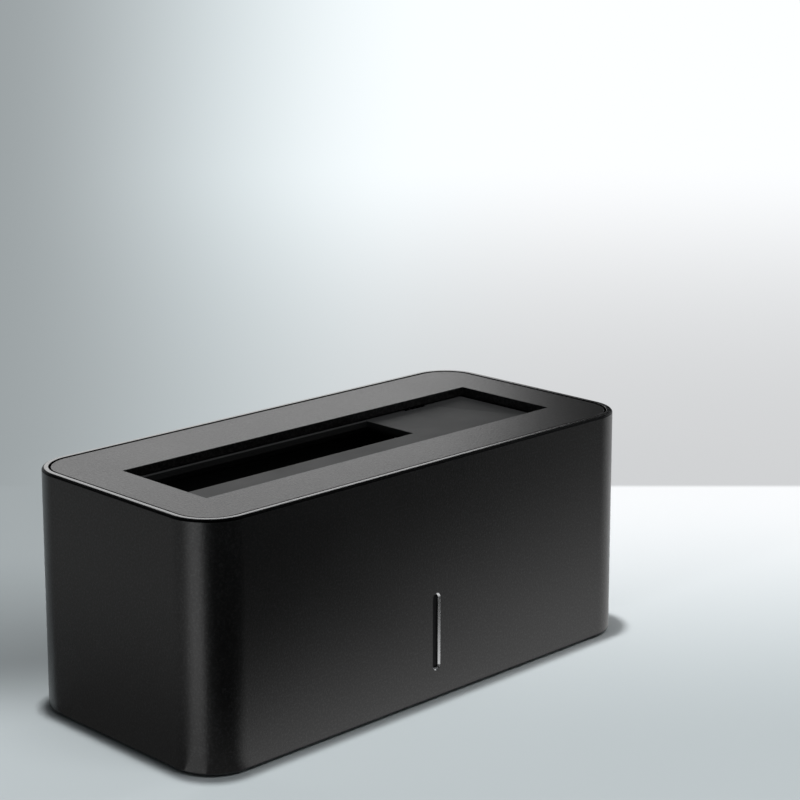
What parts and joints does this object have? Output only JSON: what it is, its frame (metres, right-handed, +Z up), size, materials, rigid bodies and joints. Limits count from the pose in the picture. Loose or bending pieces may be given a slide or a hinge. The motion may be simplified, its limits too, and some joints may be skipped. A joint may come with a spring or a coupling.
{
  "type": "hard drive docking station",
  "caption": "Upright desktop dock for a bare hard drive: rounded black aluminium shell, flush top plate with a drive slot and sprung dust flap, light slit in front, sockets and button behind.",
  "frame": {"origin": "on the table, under the middle of the housing", "axes": "+X along the front from left to right, +Y from the front with its light slit to the back with its sockets, +Z up"},
  "size_m": [0.134, 0.063, 0.056],
  "materials": {
    "shell_anodised": "black anodised, fine blasted satin, with a bare machined rim and slit",
    "plate_satin": "black satin, fine spark-eroded texture that shines at a low angle",
    "inner_plastic": "black moulded, lightly textured",
    "flap_plastic": "black moulded, satin",
    "base_plastic": "black moulded, textured",
    "button_plastic": "black, half gloss",
    "screw_steel": "zinc plated",
    "dark_screw": "black oxide",
    "pin_steel": "drawn wire",
    "spring_steel": "drawn spring wire",
    "foot_rubber": "matt black",
    "board_green": "solder mask over glass fibre",
    "connector_black": "black nylon",
    "contact_gold": "gold flash",
    "socket_steel": "nickel plated sheet",
    "socket_blue": "blue moulded insulator",
    "switch_cream": "cream moulded",
    "chip_black": "moulded epoxy",
    "can_aluminium": "bright can",
    "led_white": "white lamp body",
    "guide_clear": "clear moulded light guide"
  },
  "bodies": {
    "housing": {"outer_shell": "shell_anodised", "top_plate": "plate_satin", "plate_screws": "screw_steel", "slot_liner": "inner_plastic", "hinge_pin": "pin_steel", "flap_spring": "spring_steel", "base_plate": "base_plastic", "base_screws": "dark_screw", "rubber_feet": "foot_rubber", "main_board": "board_green", "board_screws": "screw_steel", "sata_receptacle": "connector_black", "sata_contacts": "contact_gold", "usb_socket_shell": "socket_steel", "usb_socket_core": "socket_blue", "usb_contacts": "contact_gold", "jack_housing": "connector_black", "jack_pin": "socket_steel", "jack_contact": "contact_gold", "switch_body": "switch_cream", "bridge_chip": "chip_black", "crystal": "socket_steel", "power_inductor": "chip_black", "capacitors": "can_aluminium", "status_led": "led_white", "light_guide": "guide_clear", "rear_panel": "inner_plastic"},
    "flap": {"dust_flap": "flap_plastic"},
    "button": {"power_button": "button_plastic", "switch_plunger": "switch_cream"}
  },
  "joints": [
    {"name": "flap_swing", "type": "hinge", "parent": "housing", "child": "flap", "pos_m": [0, 0.014, 0.0519], "axis": [1, 0, 0], "range_deg": [0, 90], "stiffness_Nm_per_rad": 0.003, "springref_deg": -57.3, "deforming": ["flap_spring"]},
    {"name": "button_press", "type": "slide", "parent": "housing", "child": "button", "axis": [0, -1, 0], "range_m": [0, 0.0012], "stiffness_N_per_m": 1500, "springref_m": -0.0005}
  ]
}
